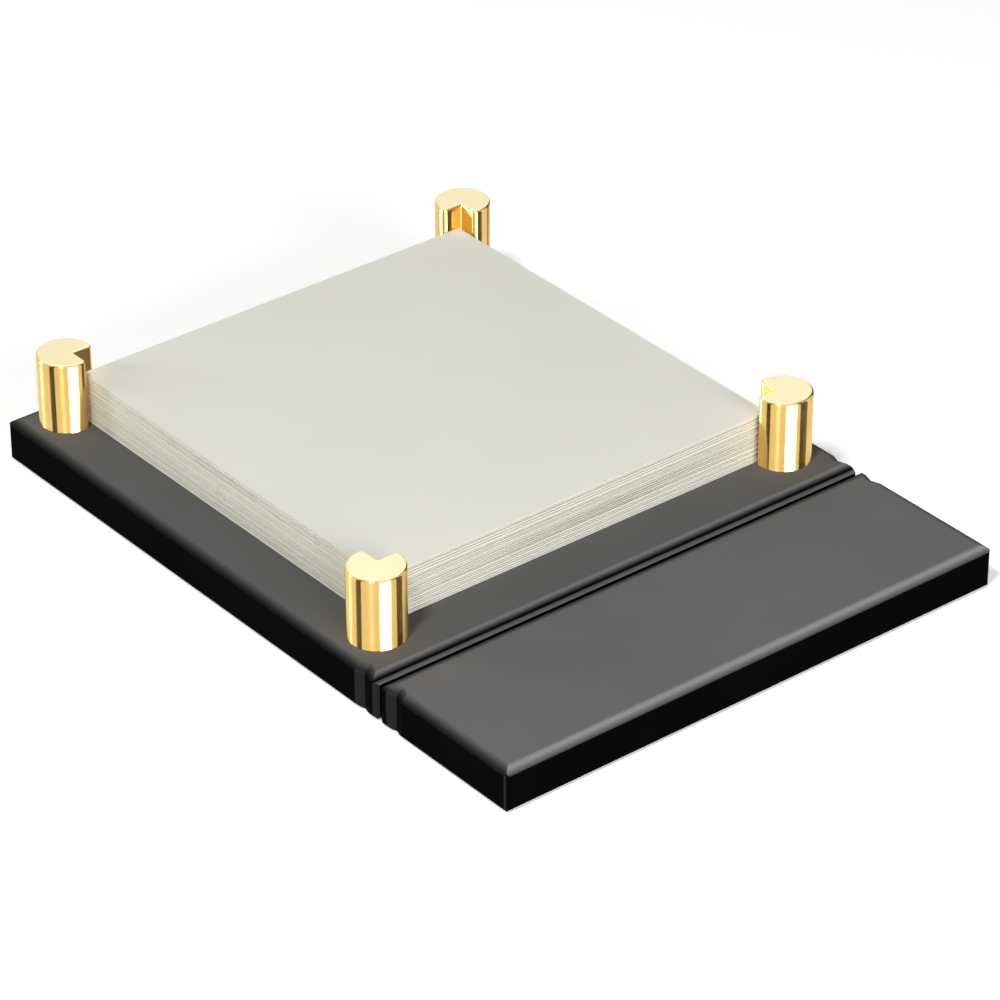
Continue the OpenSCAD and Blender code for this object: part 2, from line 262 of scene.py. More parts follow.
class FaceWay(EffectGroup):
    """Which way a face looks: upwards, aslant to the side walls, or like a brow to the front; the finishes
    paint light and highlights with these masks.
    """

    title = "face_way"
    outputs = ("Up", "Aslant", "Brow")
    steepness = 1.6
    leaning_back = (0.0, 0.6, 1.0, 0.05)
    leaning_aside = (0.0, 0.8, 1.0, 0.2)
    beside = (0.75, 0.85)
    ahead = (-0.1, -0.3)
    brow_start = (-0.1, -0.45)
    brow_stop = (-0.95, -0.6)

    def fill(self, recipe: Recipe, given: Outputs) -> list[Socket]:
        """Up grows with the height of the object's own normal and falls as it leans back or aside.

        Aslant is for normals that look to the side and a little ahead, and Brow for those between
        upright and straight ahead.
        """
        across, along, height = recipe.put("ShaderNodeSeparateXYZ", {0: recipe.normal()}).outputs
        rise = recipe.work_out("POWER", height, self.steepness, use_clamp=True)
        sideways = recipe.work_out("ABSOLUTE", across)
        back = recipe.ramp(along, *self.leaning_back)
        aside = recipe.ramp(sideways, *self.leaning_aside)
        up = recipe.work_out("MULTIPLY", rise, recipe.work_out("MULTIPLY", back, aside))
        beside = recipe.ramp(sideways, *self.beside)
        aslant = recipe.work_out("MULTIPLY", beside, recipe.ramp(along, *self.ahead))
        start = recipe.ramp(along, *self.brow_start)
        stop = recipe.ramp(along, *self.brow_stop)
        return [up, aslant, recipe.work_out("MULTIPLY", start, stop)]


class HandlingMarks(EffectGroup):
    """Faint marks of wiping and handling: long soft streaks, and a few fine hairline ones."""

    title = "handling_marks"
    inputs = (("Streak", 90.0), ("Hairline", 700.0))
    outputs = ("Haze", "Scratch")
    lie = (0.2, 0.1, 0.6)
    stretch = (1.0, 0.16, 1.0)
    haze_band = (0.35, 0.7)
    line_width = 0.006

    def fill(self, recipe: Recipe, given: Outputs) -> list[Socket]:
        """Streaks are a noise drawn out along a slanted line, hairlines the thin rings of a bent one.

        A ring is where the bent noise is near its middle value, one half.
        """
        turn = {"Vector": given["Place"], "Rotation": self.lie, "Scale": self.stretch}
        turned = recipe.put("ShaderNodeMapping", turn).outputs[0]
        soft = {"Vector": turned, "Scale": given["Streak"], "Detail": 5.0, "Distortion": 0.6}
        bent = {"Vector": turned, "Scale": given["Hairline"], "Detail": 1.0, "Distortion": 2.2}
        streak = recipe.put("ShaderNodeTexNoise", soft).outputs[0]
        rings = recipe.put("ShaderNodeTexNoise", bent).outputs[0]
        width = recipe.work_out("ABSOLUTE", recipe.work_out("SUBTRACT", rings, 0.5))
        return [recipe.ramp(streak, *self.haze_band), recipe.ramp(width, 0.0, self.line_width, 1.0, 0.0)]


def grey(tone: float) -> Triple:
    """An even grey of the tone, from 0 to 1."""
    return (tone, tone, tone)


@dataclass(frozen=True)
class Finish:
    """A surface finish: plain values on the shader, and patterns that vary over the surface."""

    title: str
    dark: Triple
    light: Triple
    smooth: float
    rough: float
    grain: float
    mottle: float
    bump: float
    depth: float = 0.02 * MM

    def shader_values(self) -> dict[str, object]:
        """Plain values of the shader's own sockets."""
        return {}

    def roughness(self, recipe: Recipe, cloud: Socket) -> Socket:
        """The roughness over the surface, from the slow cloud."""
        return recipe.spread(cloud, self.smooth, self.rough)

    def colour(self, recipe: Recipe, cloud: Socket) -> Socket:
        """The colour over the surface, from the slow cloud."""
        return recipe.blend(cloud, self.dark, self.light)

    def height(self, recipe: Recipe, grain: Socket) -> Socket:
        """The height that the bump reads, from the fine grain."""
        return grain

    def grain_direction(self, recipe: Recipe) -> Socket | None:
        """The direction of drawn lines, where the finish has one."""
        return None

    def facing(self, recipe: Recipe) -> Socket | None:
        """The normal that the bump starts from, where the finish has one of its own."""
        return None

    def material(self) -> bpy.types.Material:
        """The finish as a material, built at its first use.

        Returns:
            The material.
        """
        found = bpy.data.materials.get(self.title)
        if found is not None:
            return found
        material = bpy.data.materials.new(self.title)
        recipe = Recipe.fresh(material)
        shader = recipe.put("ShaderNodeBsdfPrincipled", self.shader_values())
        grain = FineGrain().use(recipe, Grain=self.grain, Mottle=self.mottle)
        height = self.height(recipe, grain["Height"])
        relief = {"Height": height, "Strength": self.bump, "Distance": self.depth}
        facing = self.facing(recipe)
        if facing is not None:
            relief["Normal"] = facing
        bump = recipe.put("ShaderNodeBump", relief)
        links = material.node_tree.links
        links.new(bump.outputs[0], shader.inputs["Normal"])
        links.new(self.colour(recipe, grain["Cloud"]), shader.inputs["Base Color"])
        links.new(self.roughness(recipe, grain["Cloud"]), shader.inputs["Roughness"])
        drawn = self.grain_direction(recipe)
        if drawn is not None:
            links.new(drawn, shader.inputs["Tangent"])
        recipe.put("ShaderNodeOutputMaterial", {"Surface": shader.outputs[0]})
        return material


@dataclass(frozen=True)
class ShellFinish(Finish):
    """Black moulded shell, with painted top light on the faces that look upwards, a painted highlight on the
    front edges, painted light on the groove faces, and faint marks of wiping.
    """

    # Painted light: lighter tops where light falls from above, a painted highlight on the front edges, and
    # painted light on the groove faces
    painted_top_dark: Triple = grey(0.104)
    painted_top_light: Triple = grey(0.113)
    painted_highlight: Triple = grey(0.17)
    painted_groove_light: Triple = grey(0.022)

    def shader_values(self) -> dict[str, object]:
        """A low, even gloss."""
        return {"Specular IOR Level": 0.003}

    def colour(self, recipe: Recipe, cloud: Socket) -> Socket:
        """Black walls go over into painted top light on the faces that look upwards; front edges get a
        painted highlight, and groove faces that look aside and ahead get painted light.
        """
        way = FaceWay().use(recipe)
        # painted top light, with a painted highlight on the front edges
        even = recipe.blend(cloud, self.painted_top_dark, self.painted_top_light)
        painted_top = recipe.blend(way["Brow"], even, self.painted_highlight)
        wall = recipe.blend(cloud, self.dark, self.light)
        # painted light on the groove faces that look aside and ahead
        side = recipe.blend(way["Aslant"], wall, self.painted_groove_light)
        return recipe.blend(way["Up"], side, painted_top)

    def roughness(self, recipe: Recipe, cloud: Socket) -> Socket:
        """The streaks of wiping set the roughness."""
        return recipe.spread(HandlingMarks().use(recipe, Streak=55.0)["Haze"], self.smooth, self.rough)


@dataclass(frozen=True)
class GiltFinish(Finish):
    """Polished gilt brass with hairline marks."""

    # painted highlight on the faces that look upwards
    painted_top_highlight: Triple = (0.91, 0.78, 0.48)
    lift: float = 0.48

    def shader_values(self) -> dict[str, object]:
        """All metal under a clear coat, drawn lengthways, so that reflections run along the bar."""
        return {"Metallic": 1.0, "Anisotropic": 1.0, "Coat Weight": 0.15}

    def grain_direction(self, recipe: Recipe) -> Socket:
        """The direction of the drawn lines, from the piece's own map."""
        return recipe.put("ShaderNodeTangent", {}, direction_type="UV_MAP", uv_map="drawn_lines").outputs[0]

    def colour(self, recipe: Recipe, cloud: Socket) -> Socket:
        """The faces that look upwards get a paler colour, a painted highlight."""
        even = recipe.blend(cloud, self.dark, self.light)
        return recipe.blend(FaceWay().use(recipe)["Up"], even, self.painted_top_highlight)

    def facing(self, recipe: Recipe) -> Socket:
        """The surface's normal, leant upwards, so that upright walls mirror the studio and not the desk."""
        rise = {0: recipe.normal(), 1: (0.0, 0.0, self.lift)}
        leant = recipe.put("ShaderNodeVectorMath", rise, operation="ADD").outputs[0]
        return recipe.put("ShaderNodeVectorMath", {0: leant}, operation="NORMALIZE").outputs[0]

    def roughness(self, recipe: Recipe, cloud: Socket) -> Socket:
        """The haze of handling sets the roughness."""
        return recipe.spread(HandlingMarks().use(recipe, Streak=260.0)["Haze"], self.smooth, self.rough)

    def height(self, recipe: Recipe, grain: Socket) -> Socket:
        """The hairlines are cut into the fine grain."""
        line = HandlingMarks().use(recipe, Hairline=900.0)["Scratch"]
        return recipe.work_out("SUBTRACT", grain, line)


@dataclass(frozen=True)
class SteelFinish(Finish):
    """Plated steel of small screws, with turning marks."""

    def shader_values(self) -> dict[str, object]:
        """All metal."""
        return {"Metallic": 1.0}

    def height(self, recipe: Recipe, grain: Socket) -> Socket:
        """Fine lines across the length are added to the grain."""
        turned = {"Vector": recipe.place(), "Scale": 900.0, "Distortion": 0.4}
        wave = recipe.put("ShaderNodeTexWave", turned, bands_direction="Z").outputs["Fac"]
        return recipe.work_out("ADD", grain, wave)


@dataclass(frozen=True)
class FeltFinish(Finish):
    """Thin felt of matted fibres."""

    def shader_values(self) -> dict[str, object]:
        """A soft sheen at grazing angles."""
        return {"Specular IOR Level": 0.15, "Sheen Weight": 0.5, "Sheen Roughness": 0.6}

    def height(self, recipe: Recipe, grain: Socket) -> Socket:
        """Crossing hairlines lie over the grain as fibres."""
        fibre = HandlingMarks().use(recipe, Hairline=1800.0)["Scratch"]
        return recipe.work_out("ADD", grain, fibre)


@dataclass(frozen=True)
class PaperFinish(Finish):
    """Uncoated note paper. Each sheet has a tone of its own."""

    tone_low: float = 0.93
    tone_high: float = 1.0

    def shader_values(self) -> dict[str, object]:
        """Hardly any gloss."""
        return {"Specular IOR Level": 0.2}

    def colour(self, recipe: Recipe, cloud: Socket) -> Socket:
        """The cloud's colour, darkened by the tone that the sheet carries."""
        tone = recipe.put("ShaderNodeAttribute", {}, attribute_name="sheet_tone").outputs["Fac"]
        shade = recipe.spread(tone, self.tone_low, self.tone_high)
        base = recipe.blend(cloud, self.dark, self.light)
        return recipe.put("ShaderNodeVectorMath", {0: base, 1: shade}, operation="MULTIPLY").outputs[0]


SHELL = ShellFinish(
    "black_shell",
    dark=grey(0.0012), light=grey(0.002),
    smooth=0.44, rough=0.52, grain=9000.0, mottle=40.0, bump=0.06,
)
# The drawer front's copy of the shell, with brighter painted top light and a stronger painted highlight on
# its front edge
SHELL_FRONT = replace(
    SHELL,
    title="black_shell_front",
    painted_top_dark=grey(0.13), painted_top_light=grey(0.14), painted_highlight=grey(0.27),
)
MOULDED = Finish(
    "black_moulding",
    dark=(0.012, 0.012, 0.013), light=(0.02, 0.02, 0.021),
    smooth=0.5, rough=0.62, grain=5200.0, mottle=80.0, bump=0.35,
)
GILT = GiltFinish(
    "polished_gilt",
    dark=(0.84, 0.53, 0.16), light=(0.89, 0.58, 0.19),
    smooth=0.15, rough=0.18, grain=2600.0, mottle=160.0, bump=0.005, depth=0.01 * MM,
)
STEEL = SteelFinish(
    "plated_steel",
    dark=(0.5, 0.5, 0.52), light=(0.66, 0.66, 0.67),
    smooth=0.26, rough=0.4, grain=6000.0, mottle=400.0, bump=0.12,
)
RUBBER = Finish(
    "black_rubber",
    dark=(0.018, 0.018, 0.018), light=(0.032, 0.032, 0.031),
    smooth=0.72, rough=0.9, grain=3600.0, mottle=150.0, bump=0.4, depth=0.03 * MM,
)
FELT = FeltFinish(
    "dark_felt",
    dark=(0.02, 0.022, 0.026), light=(0.045, 0.048, 0.055),
    smooth=0.9, rough=1.0, grain=3200.0, mottle=240.0, bump=0.8, depth=0.08 * MM,
)
PAPER_FACE = PaperFinish(
    "paper_face",
    dark=(0.79, 0.79, 0.7), light=(0.81, 0.81, 0.72),
    smooth=0.85, rough=0.95, grain=2600.0, mottle=35.0, bump=0.1, depth=0.01 * MM,
)
PAPER_CUT = PaperFinish(
    "paper_cut_edge",
    dark=(0.82, 0.8, 0.69), light=(0.86, 0.84, 0.73),
    smooth=0.9, rough=1.0, grain=3400.0, mottle=120.0, bump=0.1, depth=0.02 * MM,
)


def new_object(
    name: str,
    points: np.ndarray,
    faces: Sequence[Sequence[int]],
    smooth_below: float,
) -> bpy.types.Object:
    """Makes a mesh object at the origin.

    Args:
        name: the object's name.
        points: the corners, one row of X, Y, Z each.
        faces: the corner numbers of each face.
        smooth_below: edges that turn by less than this, in degrees, are shaded smooth.

    Returns:
        The object, linked to the scene.
    """
    mesh = bpy.data.meshes.new(name)
    mesh.from_pydata(points.tolist(), [], list(faces))
    mesh.validate()
    mesh.polygons.foreach_set("use_smooth", np.ones(len(mesh.polygons), bool))
    mesh.set_sharp_from_angle(angle=math.radians(smooth_below))
    mesh.update()
    made = bpy.data.objects.new(name, mesh)
    bpy.context.scene.collection.objects.link(made)
    LOG.info("%s: %d faces", name, len(mesh.polygons))
    return made


def ring_quads(rings: int, count: int, start: int = 0) -> np.ndarray:
    """Faces between closed rings of points that follow one another upwards.

    Args:
        rings: how many rings.
        count: points in a ring, counted anticlockwise from above.
        start: the number of the first point.

    Returns:
        Rows of four corner numbers, which point outwards.
    """
    low = np.arange(rings - 1)[:, None] * count
    here = np.arange(count)[None, :]
    after = (here + 1) % count
    quads = np.stack([low + here, low + after, low + count + after, low + count + here], -1)
    return quads.reshape(-1, 4) + start


@dataclass(frozen=True)
class Outline:
    """A closed curve seen from above, anticlockwise, with its outward normals."""

    points: np.ndarray
    normals: np.ndarray

    @classmethod
    def through(cls, dense: np.ndarray, count: int, corner_pull: float) -> "Outline":
        """Picks points along a dense closed curve, closer together where it turns.

        A step's weight is its length plus corner_pull times the angle that the curve turns there,
        and the points stand at equal steps of the running sum.

        Args:
            dense: many points along the curve, anticlockwise.
            count: how many points to keep.
            corner_pull: the length that a turn of one radian counts for.

        Returns:
            The outline.
        """
        step = np.roll(dense, -1, 0) - dense
        heading = np.unwrap(np.arctan2(step[:, 1], step[:, 0]))
        turn = np.abs(np.diff(heading, append=heading[-1]))
        weight = np.hypot(step[:, 0], step[:, 1]) + corner_pull * turn
        along = np.concatenate([[0.0], np.cumsum(weight)])
        wanted = np.arange(count) * along[-1] / count
        closed = np.vstack([dense, dense[:1]])
        kept = np.stack([np.interp(wanted, along, closed[:, k]) for k in (0, 1)], -1)
        tangent = np.roll(kept, -1, 0) - np.roll(kept, 1, 0)
        tangent /= np.hypot(tangent[:, 0], tangent[:, 1])[:, None]
        return cls(kept, np.stack([tangent[:, 1], -tangent[:, 0]], -1))

    def inset(self, amount: float) -> np.ndarray:
        """The curve moved inwards by an amount, along its normals."""
        return self.points - self.normals * amount

    def loft(self, steps: Sequence[tuple[float, float]]) -> tuple[np.ndarray, list[list[int]]]:
        """Carries the outline up through steps of inset and height, and closes both ends.

        Each ring is the outline moved inwards by the step's inset, at the step's height. Both ends
        are closed by a ring halfway to the middle and a fan to the middle point.

        Args:
            steps: the inset and height of each ring, from the bottom's edge to the top's.

        Returns:
            The points and the faces.
        """
        count = len(self.points)
        rings = [np.column_stack([self.inset(gap), np.full(count, z)]) for gap, z in steps]
        low, high = (ring * (0.5, 0.5, 1.0) for ring in (rings[0], rings[-1]))
        stacked = [low, *rings, high]
        middle = np.array([[0.0, 0.0, steps[0][1]], [0.0, 0.0, steps[-1][1]]])
        points = np.vstack([*stacked, middle])
        faces = ring_quads(len(stacked), count).tolist()
        here = np.arange(count)
        after = (here + 1) % count
        top = (len(stacked) - 1) * count
        bottom_point = len(stacked) * count
        faces += np.stack([after, here, np.full(count, bottom_point)], -1).tolist()
        faces += np.stack([top + here, top + after, np.full(count, bottom_point + 1)], -1).tolist()
        return points, faces


def even_steps(corners: np.ndarray, count: int) -> np.ndarray:
    """Points at equal steps along the closed line through the corners.

    Args:
        corners: rows of X and Y.
        count: how many points to return.

    Returns:
        Rows of X and Y.
    """
    closed = np.vstack([corners, corners[:1]])
    along = np.concatenate([[0.0], np.cumsum(np.hypot(*np.diff(closed, axis=0).T))])
    wanted = np.linspace(0.0, along[-1], count, endpoint=False)
    return np.stack([np.interp(wanted, along, closed[:, k]) for k in (0, 1)], -1)


def rounded_rectangle(width: float, length: float, radius: float) -> np.ndarray:
    """Many points along a rectangle with round corners, anticlockwise, centred.

    The rectangle shrunk by the radius is walked by angle, and the radius is added along the
    direction that points away from it: a point is the corner's centre plus radius times the unit
    vector of its angle, and straight sides join the four arcs.

    Args:
        width: size along X.
        length: size along Y.
        radius: radius of the corners.

    Returns:
        Rows of X and Y.
    """
    arc_points, dense_points = 60, 4000
    quarter = np.linspace(0.0, 0.5 * np.pi, arc_points)
    angle = quarter[None, :] + 0.5 * np.pi * np.arange(4)[:, None]
    signs = np.array([(1, 1), (-1, 1), (-1, -1), (1, -1)])
    centres = signs * (0.5 * width - radius, 0.5 * length - radius)
    arcs = centres[:, None, :] + radius * np.stack([np.cos(angle), np.sin(angle)], -1)
    return even_steps(arcs.reshape(-1, 2), dense_points)


def rim_steps(
    low: float,
    high: float,
    foot_round: float,
    rim_round: float,
    arc_points: int = 7,
) -> list[tuple[float, float]]:
    """Insets and heights of an upright wall with a round edge at its foot and at its rim.

    Along a round edge the inset is radius times one minus cosine, and the height falls from the
    edge's by radius times one minus sine, of an angle that goes through a quarter turn. One more
    ring close beyond each round edge keeps the flat parts evenly shaded.

    Args:
        low: height of the bottom.
        high: height of the top.
        foot_round: radius at the foot.
        rim_round: radius at the rim.
        arc_points: points along each round edge.

    Returns:
        The inset and height of each ring, from below.
    """
    turn = np.linspace(0.0, 0.5 * np.pi, arc_points)
    beyond = 0.02 * MM
    foot = [(foot_round * (1 - math.cos(t)), low + foot_round * (1 - math.sin(t))) for t in turn[::-1]]
    rim = [(rim_round * (1 - math.cos(t)), high - rim_round * (1 - math.sin(t))) for t in turn]
    wall = [(0.0, low + foot_round + beyond), (0.0, high - rim_round - beyond)]
    return [(foot_round + beyond, low), *foot, *wall, *rim, (rim_round + beyond, high)]


class Dresser:
    """Puts finishes on the nodes of the frame."""

    def __init__(self, nodes: dict[str, bpy.types.Object]) -> None:
        """Keeps the frame's nodes by name."""
        self.nodes = nodes

    def dress(self, finish: Finish, *names: str) -> None:
        """Gives the named nodes a finish.

        Args:
            finish: the finish.
            names: the nodes' names.
        """
        for name in names:
            mesh = self.nodes[name].data
            mesh.materials.clear()
            mesh.materials.append(finish.material())
            LOG.info("%s: %s", name, finish.title)


@dataclass
class Housing:
    """The moulded housing with its plate, feet, stops and screws."""

    shell: tuple[str, ...] = ("housing",)
    plate: tuple[str, ...] = ("base_plate",)
    feet: tuple[str, ...] = ("foot_rear_left", "foot_rear_right", "foot_front_left", "foot_front_right")
    bumpers: tuple[str, ...] = ("bumper_left", "bumper_right")
    screws: tuple[str, ...] = ("base_screws", "post_screws")

    def build(self, dresser: Dresser) -> None:
        """Dresses the housing's nodes."""
        dresser.dress(SHELL, *self.shell)
        dresser.dress(MOULDED, *self.plate)
        dresser.dress(RUBBER, *self.feet, *self.bumpers)
        dresser.dress(STEEL, *self.screws)


@dataclass
class CornerPosts:
    """The four notched posts, each a polished bar with every edge slightly rounded."""

    radius: float = 6.0 * MM
    notch: float = 1.3 * MM
    foot: float = 9.6 * MM
    top: float = 25.6 * MM
    rim: float = 0.45 * MM
    edge_round: float = 0.9 * MM
    corner_round: float = 0.15 * MM
    half_span: float = 52.25 * MM
    rear: float = 74.0 * MM
    front: float = -30.5 * MM
    foot_round: float = 0.12 * MM
    arc_points: int = 600
    dense_points: int = 24000
    wall_points: int = 280
    corner_pull: float = 0.8 * MM
    spigot: float = 5.0 * MM
    spigot_depth: float = 0.6 * MM
    spigot_round: float = 0.3 * MM
    spigot_points: int = 48
    spigot_pull: float = 0.5 * MM
    smooth_below: float = 50.0
    level_above: float = 0.9
    map_scale: float = 0.01 / MM

    def outline(self) -> Outline:
        """The bar with its notch, seen from above, for the rear right post.

        The bar's arc runs from one notch edge to the other. Each edge is an arc that touches both
        the bar and the notch's face: its middle is edge_round inside either, so it lies at the
        root of (radius - edge_round) squared less (edge_round - notch) squared along the face. A
        small hollow arc joins the two faces.

        Returns:
            The outline.
        """
        inset = self.edge_round - self.notch
        along = -math.sqrt((self.radius - self.edge_round) ** 2 - inset**2)
        lean = math.degrees(math.atan2(along, inset))
        hollow = -self.notch - self.corner_round
        pieces = [
            self.arc((0.0, 0.0), self.radius, lean, 90.0 - lean),
            self.arc((along, inset), self.edge_round, 90.0 - lean, 270.0),
            self.arc((hollow, hollow), self.corner_round, 90.0, 0.0),
            self.arc((inset, along), self.edge_round, 180.0, 360.0 + lean),
        ]
        dense = even_steps(np.concatenate(pieces), self.dense_points)
        return Outline.through(dense, self.wall_points, self.corner_pull)

    def arc(self, middle: tuple[float, float], radius: float, start: float, stop: float) -> np.ndarray:
        """Points along an arc from one angle to another, in degrees.

        Args:
            middle: the arc's middle.
            radius: its radius.
            start: the first angle.
            stop: the last angle.

        Returns:
            Rows of X and Y.
        """
        angle = np.radians(np.linspace(start, stop, self.arc_points))
        return np.array(middle) + radius * np.stack([np.cos(angle), np.sin(angle)], -1)

    def map_lines(self, post: bpy.types.Object) -> None:
        """Maps the direction of the drawn lines: up the walls, and along X on the flat ends.

        A wall's map runs with the height, and across it with the angle about the post's middle
        times the radius.

        Args:
            post: the finished post.
        """
        mesh = post.data
        corner = np.empty(len(mesh.loops), np.int32)
        mesh.loops.foreach_get("vertex_index", corner)
        place = np.empty(3 * len(mesh.vertices), np.float32)
        mesh.vertices.foreach_get("co", place)
        place = place.reshape(-1, 3)[corner]
        facing = np.empty(3 * len(mesh.polygons), np.float32)
        mesh.polygons.foreach_get("normal", facing)
        sides = np.empty(len(mesh.polygons), np.int32)
        mesh.polygons.foreach_get("loop_total", sides)
        flat = np.repeat(np.abs(facing.reshape(-1, 3)[:, 2]) > self.level_above, sides)
        middle = 0.5 * (place.min(0) + place.max(0))
        round_about = np.arctan2(place[:, 1] - middle[1], place[:, 0] - middle[0])
        upright = np.stack([place[:, 2], round_about * self.radius], -1)
        lines = np.where(flat[:, None], place[:, :2], upright) * self.map_scale
        mesh.uv_layers.new(name="drawn_lines").data.foreach_set("uv", lines.astype(np.float32).ravel())

    def spigot_mesh(self) -> tuple[np.ndarray, list[list[int]]]:
        """The square spigot under the post."""
        dense = rounded_rectangle(self.spigot, self.spigot, self.spigot_round)
        square = Outline.through(dense, self.spigot_points, self.spigot_pull)
        return square.loft([(0.0, self.foot - self.spigot_depth), (0.0, self.foot)])

    def place(self, points: np.ndarray, side: Side, end: End) -> np.ndarray:
        """Turns points by quarter turns so that the notch faces the sheets, and moves them.

        Args:
            points: points of the rear right post around its own middle.
            side: left or right.
            end: front or rear.

        Returns:
            The points in the frame.
        """
        rear, right = end is End.REAR, side is Side.RIGHT
        quarter_turns = {(True, True): 0, (True, False): 1, (False, False): 2, (False, True): 3}
        angle = 0.5 * math.pi * quarter_turns[(rear, right)]
        turned = points @ np.array(Matrix.Rotation(angle, 3, "Z")).T
        return turned + (side.value * self.half_span, self.rear if rear else self.front, 0.0)

    def build(self) -> None:
        """Builds the four posts, which stand for their nodes."""
        rings = rim_steps(self.foot, self.top, self.foot_round, self.rim)
        body, body_faces = self.outline().loft(rings)
        spigot, spigot_faces = self.spigot_mesh()
        points = np.vstack([body, spigot])
        faces = body_faces + [[corner + len(body) for corner in face] for face in spigot_faces]
        for side in Side:
            for end in End:
                words = f"{end.name.lower()}_{side.name.lower()}"
                placed = self.place(points, side, end)
                post = new_object(f"notched_post_{words}", placed, faces, self.smooth_below)
                post.data.materials.append(GILT.material())
                self.map_lines(post)
                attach(post, Body.BASE.value)
                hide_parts(f"post_{words}")


@dataclass
class SheetStack:
    """The loose sheets, each cut and laid a little differently from the next.

    They lie in bundles. The last two sheets of a bundle are thin and set back, so that a fine dark
    line shows between it and the next.
    """

    width: float = 99.0 * MM
    length: float = 100.4 * MM
    middle_y: float = 21.75 * MM
    low: float = 9.6 * MM
    height: float = 10.9 * MM
    count: int = 104
    side_points: int = 18
    bundle_sizes: tuple[int, int] = (4, 6)
    own_drift: Triple = (0.008 * MM, 0.008 * MM, 0.0001)
    bundle_drift: Triple = (0.1 * MM, 0.1 * MM, 0.0008)
    cut_spread: float = 0.0002
    set_back: float = 0.011
    thin: tuple[float, float] = (0.08, 0.3)
    full: float = 0.985
    smooth_below: float = 20.0
    seed: int = 11

    def outline(self) -> np.ndarray:
        """Points round one sheet, anticlockwise, with the same number on each side.

        Returns:
            Rows of X and Y, as shares of the half width and half length.
        """
        along = np.linspace(-1.0, 1.0, self.side_points, endpoint=False)
        ones = np.ones_like(along)
        sides = [(along, -ones), (ones, along), (-along, ones), (-ones, -along)]
        return np.concatenate([np.column_stack(side) for side in sides])

    def bundles(self, rng: np.random.Generator) -> np.ndarray:
        """The number of the bundle that each sheet belongs to.

        Args:
            rng: the source of chance.

        Returns:
            One number for each sheet, from below.
        """
        fewest, most = self.bundle_sizes
        sizes = rng.integers(fewest, most + 1, self.count)
        return np.repeat(np.arange(self.count), sizes)[: self.count]

    def drift(self, rng: np.random.Generator, bundle: np.ndarray) -> np.ndarray:
        """How far each sheet lies from the stack's middle: along X, along Y, and turned.

        Every bundle lies at a place of its own, and each sheet in it adds a little.

        Args:
            rng: the source of chance.
            bundle: each sheet's bundle.

        Returns:
            One row for each sheet: X and Y in metres, the turn in radians.
        """
        own = rng.normal(0.0, 1.0, (self.count, 3)) * self.own_drift
        jump = rng.uniform(-1.0, 1.0, (bundle[-1] + 1, 3)) * self.bundle_drift
        return own + jump[bundle]

    def swell(self, share: np.ndarray, x: np.ndarray, y: np.ndarray) -> np.ndarray:
        """How far a sheet rises where the stack isn't pressed flat.

        It is a sum of sines of the share of the height, which are zero at the bottom and the top,
        each times a slope or a wave along the stack, in millimetres. All are so small that no sheet
        passes through the next.

        Args:
            share: the share of the stack's height, 0 to 1.
            x: place across, -1 to 1.
            y: place along, -1 to 1.

        Returns:
            The rise in metres.
        """
        lean = 0.13 * x - 0.1 * y
        bow = 0.08 * y + 0.05 * np.cos(2.2 * x)
        wave = 0.05 * np.sin(2.6 * y + 1.7 * x)
        parts = [np.sin(n * np.pi * share) * shape for n, shape in enumerate((lean, bow, wave), 1)]
        return sum(parts) * MM

    def points(self, rng: np.random.Generator, bundle: np.ndarray, ring: np.ndarray) -> np.ndarray:
        """The corners of every sheet, a lower and an upper ring each.

        A sheet is the ring times its own size, turned by its own small angle and moved. Its lower
        ring lies at its number's share of the height, and its upper one as much higher as the
        sheet fills of its step.

        Args:
            rng: the source of chance.
            bundle: each sheet's bundle.
            ring: the outline of a sheet, as shares of its half width and half length.

        Returns:
            Rows of X, Y, Z, from the lowest ring to the highest.
        """
        last = np.append(np.diff(bundle) > 0, False)
        last |= np.roll(last, -1)
        drift = self.drift(rng, bundle)
        spread = rng.uniform(-self.cut_spread, self.cut_spread, (self.count, 1, 2))
        cut = 1.0 + spread - np.where(last, self.set_back, 0.0)[:, None, None]
        flat = ring[None] * (0.5 * self.width, 0.5 * self.length) * cut
        turn = drift[:, 2, None]
        x = flat[..., 0] - turn * flat[..., 1] + drift[:, 0, None]
        y = flat[..., 1] + turn * flat[..., 0] + drift[:, 1, None] + self.middle_y
        filled = np.where(last, rng.uniform(*self.thin, self.count), self.full)
        number = np.arange(self.count)
        levels = (np.stack([number, number + filled], 1) / self.count)[:, :, None]
        z = self.low + levels * self.height + self.swell(levels, ring[:, 0], ring[:, 1])
        rings = [np.broadcast_to(x[:, None], z.shape), np.broadcast_to(y[:, None], z.shape), z]
        return np.stack(rings, -1).reshape(-1, 3)

    def faces(self, around: int) -> list[list[int]]:
        """The walls of all sheets, then their tops, then their undersides.

        Args:
            around: points in a ring.

        Returns:
            The corner numbers of each face.
        """
        start = np.arange(self.count)[:, None] * 2 * around
        here = np.arange(around)[None, :]
        after = (here + 1) % around
        above = start + around
        walls = np.stack([start + here, start + after, above + after, above + here], -1)
        undersides = start + here[:, ::-1]
        return walls.reshape(-1, 4).tolist() + (above + here).tolist() + undersides.tolist()

    def build(self) -> None:
        """Builds the stack, which stands for its node."""
        rng = np.random.default_rng(self.seed)
        ring = self.outline()
        around = len(ring)
        bundle = self.bundles(rng)
        points = self.points(rng, bundle, ring)
        stack = new_object("loose_sheets", points, self.faces(around), self.smooth_below)
        mesh = stack.data
        mesh.materials.append(PAPER_FACE.material())
        mesh.materials.append(PAPER_CUT.material())
        is_wall = np.arange(len(mesh.polygons)) < self.count * around
        mesh.polygons.foreach_set("material_index", is_wall.astype(np.int32))
        tone = np.repeat(rng.random(bundle[-1] + 1)[bundle], 2 * around).astype(np.float32)
        mesh.attributes.new("sheet_tone", "FLOAT", "POINT").data.foreach_set("value", tone)
        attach(stack, Body.SHEETS.value)
        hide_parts("memo_sheets")
        LOG.info("sheets: %d of %.3f mm", self.count, self.height / self.count / MM)


